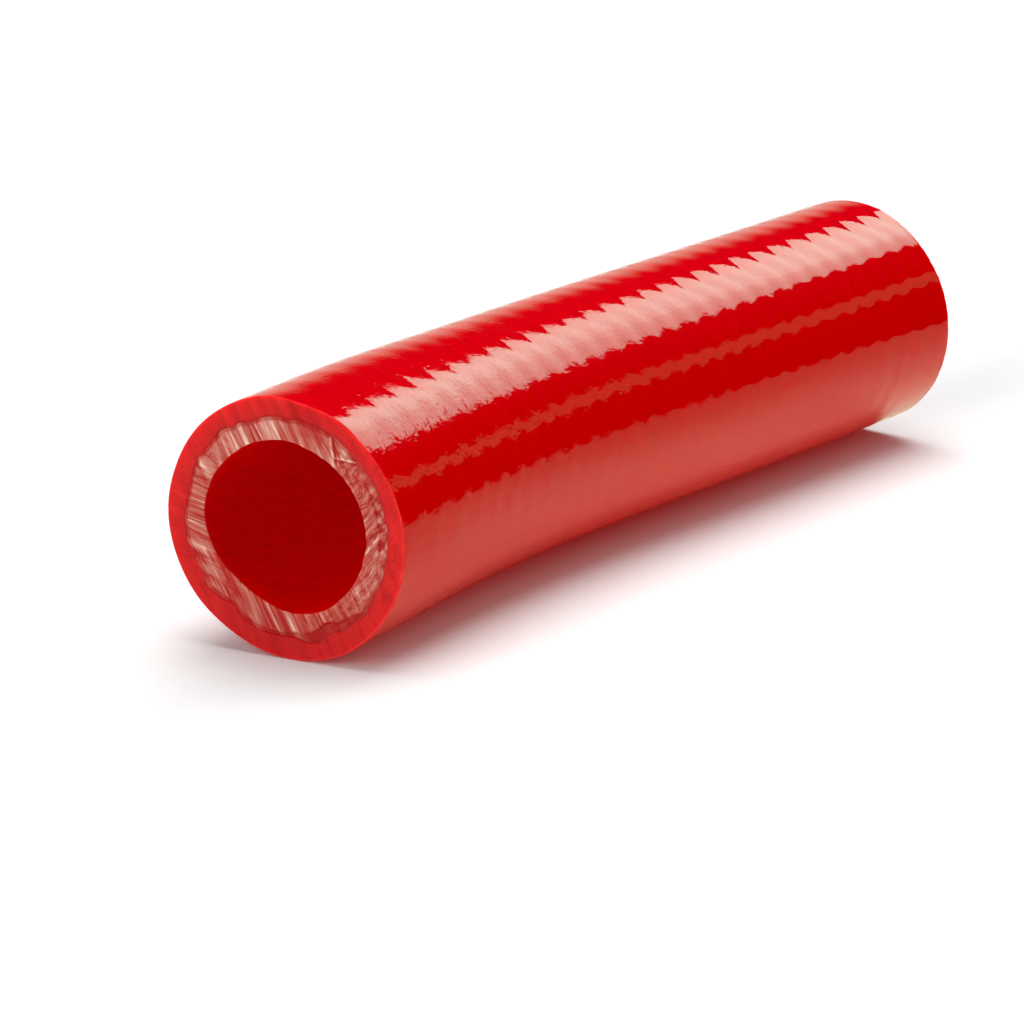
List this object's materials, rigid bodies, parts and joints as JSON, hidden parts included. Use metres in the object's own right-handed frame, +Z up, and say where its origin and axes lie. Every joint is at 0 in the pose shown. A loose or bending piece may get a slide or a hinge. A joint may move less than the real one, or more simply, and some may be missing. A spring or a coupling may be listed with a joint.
{
  "type": "braided pvc air hose",
  "caption": "Short cut length of braid-reinforced PVC air hose: clear liner, woven yarn layer and glossy red cover, with a slight bend and square ends.",
  "frame": {"origin": "centre of the hose's bounding box at its base, on the surface that it lies on", "axes": "+X along the hose, from the near cut face to the far one; +Z up; the bend turns the far end towards -Y"},
  "size_m": [0.0626, 0.0202, 0.015],
  "materials": {
    "liner": "translucent",
    "cover": "glossy",
    "yarn": "matt"
  },
  "bodies": {
    "root": {"liner": "liner", "cover": "cover", "yarn_right_01": "yarn", "yarn_right_02": "yarn", "yarn_right_03": "yarn", "yarn_right_04": "yarn", "yarn_right_05": "yarn", "yarn_right_06": "yarn", "yarn_right_07": "yarn", "yarn_right_08": "yarn", "yarn_right_09": "yarn", "yarn_right_10": "yarn", "yarn_right_11": "yarn", "yarn_right_12": "yarn", "yarn_left_01": "yarn", "yarn_left_02": "yarn", "yarn_left_03": "yarn", "yarn_left_04": "yarn", "yarn_left_05": "yarn", "yarn_left_06": "yarn", "yarn_left_07": "yarn", "yarn_left_08": "yarn", "yarn_left_09": "yarn", "yarn_left_10": "yarn", "yarn_left_11": "yarn", "yarn_left_12": "yarn"}
  },
  "joints": []
}
